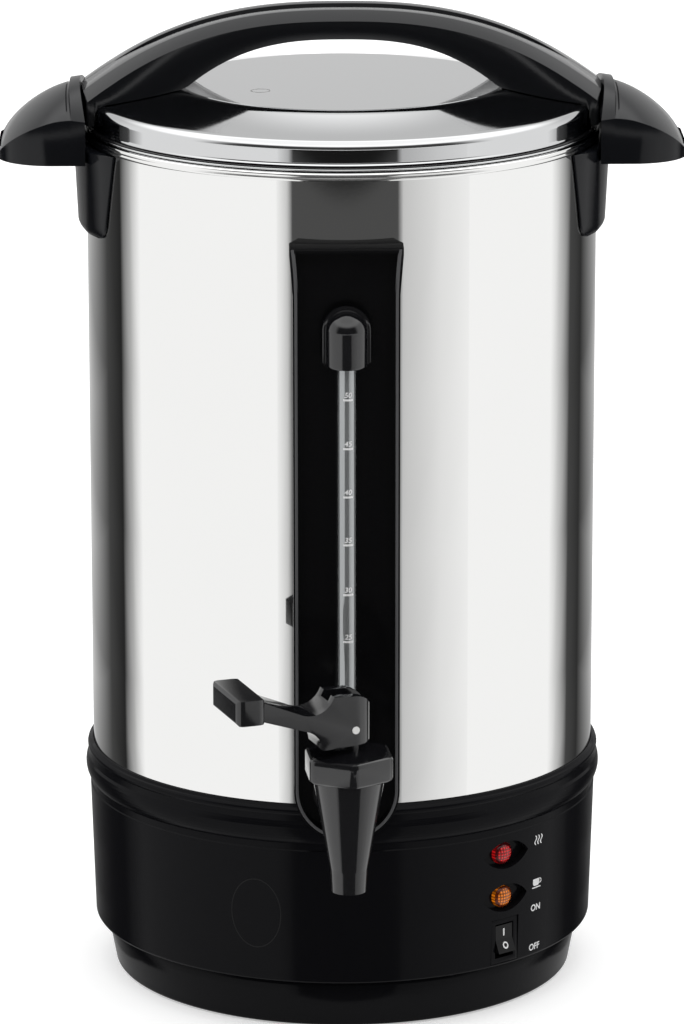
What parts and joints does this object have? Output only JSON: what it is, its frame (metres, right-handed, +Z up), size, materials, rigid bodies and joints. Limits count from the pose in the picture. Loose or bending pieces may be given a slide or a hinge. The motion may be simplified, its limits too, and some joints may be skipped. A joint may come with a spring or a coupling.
{
  "type": "coffee urn",
  "caption": "Percolator coffee urn with a polished steel tank, black base, sight gauge, lever tap, side handles and lift-off lid with an arched handle.",
  "frame": {"origin": "centre of the base on the surface the urn stands on", "axes": "+Z up, -Y towards the tap, +X to the right seen from the tap side"},
  "size_m": [0.294, 0.3112, 0.428],
  "materials": {
    "polished_steel": "polished",
    "fixing_steel": "satin",
    "element_sheath": "oxidised",
    "percolator_aluminium": "satin",
    "shield_aluminium": "mill finish",
    "cover_metal": "satin",
    "gloss_black": "gloss",
    "foot_rubber": "matte",
    "silicone": "matte",
    "ceramic": "matte",
    "white_plastic": "satin",
    "red_lens": "clear gloss",
    "amber_lens": "clear gloss",
    "contact_brass": "satin",
    "sight_glass": "clear"
  },
  "bodies": {
    "urn": {"base_housing": "gloss_black", "bonnet_gasket": "silicone", "bottom_cover": "cover_metal", "brew_thermostat": "ceramic", "cord_gland": "foot_rubber", "cover_screws": "fixing_steel", "foot_ring": "foot_rubber", "gauge_cap": "gloss_black", "gauge_panel": "gloss_black", "gauge_seals": "silicone", "gauge_tube": "sight_glass", "handle_left": "gloss_black", "handle_right": "gloss_black", "handle_screws": "fixing_steel", "heat_shield": "shield_aluminium", "heater_clamp": "fixing_steel", "heater_element": "element_sheath", "heater_plate": "shield_aluminium", "heating_lens": "red_lens", "lamp_bodies": "white_plastic", "rocker_pin": "fixing_steel", "stud_nuts": "fixing_steel", "switch_frame": "gloss_black", "switch_terminals": "contact_brass", "tank_shell": "polished_steel", "tank_studs": "fixing_steel", "tap_body": "gloss_black", "tap_bonnet": "gloss_black", "tap_inner_gasket": "silicone", "tap_lock_nut": "white_plastic", "tap_outer_gasket": "silicone", "terminal_block": "ceramic", "thermal_fuse": "ceramic", "valve_spring": "fixing_steel", "warm_thermostat": "ceramic", "warming_lens": "amber_lens"},
    "lid": {"lid_dish": "polished_steel", "lid_handle": "gloss_black", "lid_handle_screws": "fixing_steel"},
    "seat_plunger": {"seat_cup": "silicone"},
    "stem": {"valve_stem": "gloss_black"},
    "lever": {"tap_lever": "gloss_black", "lever_pin": "fixing_steel"},
    "rocker": {"switch_rocker": "gloss_black"},
    "percolator": {"pump_foot": "percolator_aluminium", "pump_tube": "percolator_aluminium", "coffee_basket": "percolator_aluminium"},
    "basket_lid": {"basket_cover": "percolator_aluminium"}
  },
  "joints": [
    {"name": "lid_lift", "type": "slide", "parent": "urn", "child": "lid", "axis": [0, 0, 1], "range_m": [0, 0.12]},
    {"name": "stem_lift", "type": "slide", "parent": "urn", "child": "seat_plunger", "axis": [0, 0, 1], "range_m": [0, 0.00502], "deforming": ["valve_spring"]},
    {"name": "lever_swivel", "type": "hinge", "parent": "seat_plunger", "child": "stem", "pos_m": [0, -0.165, 0.1551], "axis": [0, 0, 1], "range_deg": [-20, 154]},
    {"name": "lever_tilt", "type": "hinge", "parent": "stem", "child": "lever", "pos_m": [0, -0.165, 0.1551], "axis": [0.3256, -0.9455, 0], "range_deg": [0, 35], "stiffness_Nm_per_rad": 0.6, "springref_deg": -34.38},
    {"name": "switch_rock", "type": "hinge", "parent": "urn", "child": "rocker", "pos_m": [0.06634, -0.0828, 0.034], "axis": [0.7804, 0.6252, 0], "range_deg": [0, 24]},
    {"name": "percolator_lift", "type": "slide", "parent": "urn", "child": "percolator", "axis": [0, 0, 1], "range_m": [0, 0.02]},
    {"name": "basket_cover_lift", "type": "slide", "parent": "percolator", "child": "basket_lid", "axis": [0, 0, 1], "range_m": [0, 0.012]}
  ],
  "couplings": [
    {"joint": "stem_lift", "follows": "lever_tilt", "m_per_rad": 0.008185}
  ]
}
